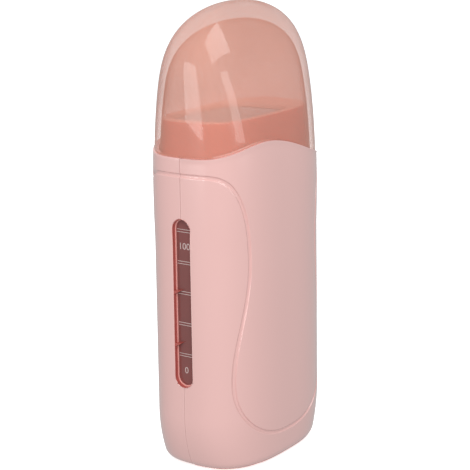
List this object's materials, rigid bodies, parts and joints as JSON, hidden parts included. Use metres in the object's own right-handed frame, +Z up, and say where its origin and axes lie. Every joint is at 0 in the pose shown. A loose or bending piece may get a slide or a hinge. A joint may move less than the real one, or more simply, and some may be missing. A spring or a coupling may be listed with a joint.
{
  "type": "roll-on wax heater",
  "caption": "Hand-held heater for one roll-on wax cartridge: flattened case with a level window, wavy rim and a tall translucent lift-off cap.",
  "frame": {"origin": "centre of the footprint on the surface that the heater stands on", "axes": "+Z up, X across the broad side with the level window on -X and the power inlet on +X, Y through the thickness"},
  "size_m": [0.0845, 0.0534, 0.2],
  "materials": {
    "case": "glossy pink moulded ABS",
    "case_dark": "satin coral moulded ABS",
    "foot": "soft rubber",
    "cap": "glossy milky translucent plastic",
    "window": "clear polycarbonate over a dark well",
    "inner_plastic": "heat-resistant moulded plastic",
    "aluminium": "drawn aluminium",
    "heater": "mica laminate",
    "steel": "zinc-plated steel",
    "plated": "nickel-plated brass",
    "dark_plastic": "black moulded plastic",
    "rocker": "glossy black plastic",
    "lens": "red diffusing plastic",
    "board": "glass-fibre circuit board"
  },
  "bodies": {
    "case": {"front_shell": "case", "rear_shell": "case", "base_plate": "case_dark", "rubber_feet": "foot", "top_collar": "case", "level_window": "window", "well_carrier": "inner_plastic", "heating_sleeve": "aluminium", "heater_front": "heater", "heater_rear": "heater", "clamp_band_lower": "steel", "clamp_band_upper": "steel", "clamp_screws": "steel", "thermostat": "dark_plastic", "thermal_fuse": "steel", "power_inlet": "dark_plastic", "inlet_pins": "plated", "switch_housing": "dark_plastic", "switch_terminals": "plated", "indicator_lens": "lens", "lamp_board": "board", "indicator_lamp": "lens", "board_resistor": "inner_plastic", "shell_screws": "steel", "base_screws": "steel"},
    "cap": {"cap": "cap"},
    "rocker": {"switch_rocker": "rocker"}
  },
  "joints": [
    {"name": "cap_lift", "type": "slide", "parent": "case", "child": "cap", "axis": [0, 0, 1], "range_m": [0, 0.07]},
    {"name": "rocker_press", "type": "hinge", "parent": "case", "child": "rocker", "pos_m": [0.03829, 0, 0.06], "axis": [0, -1, 0], "range_deg": [0, 18]}
  ]
}
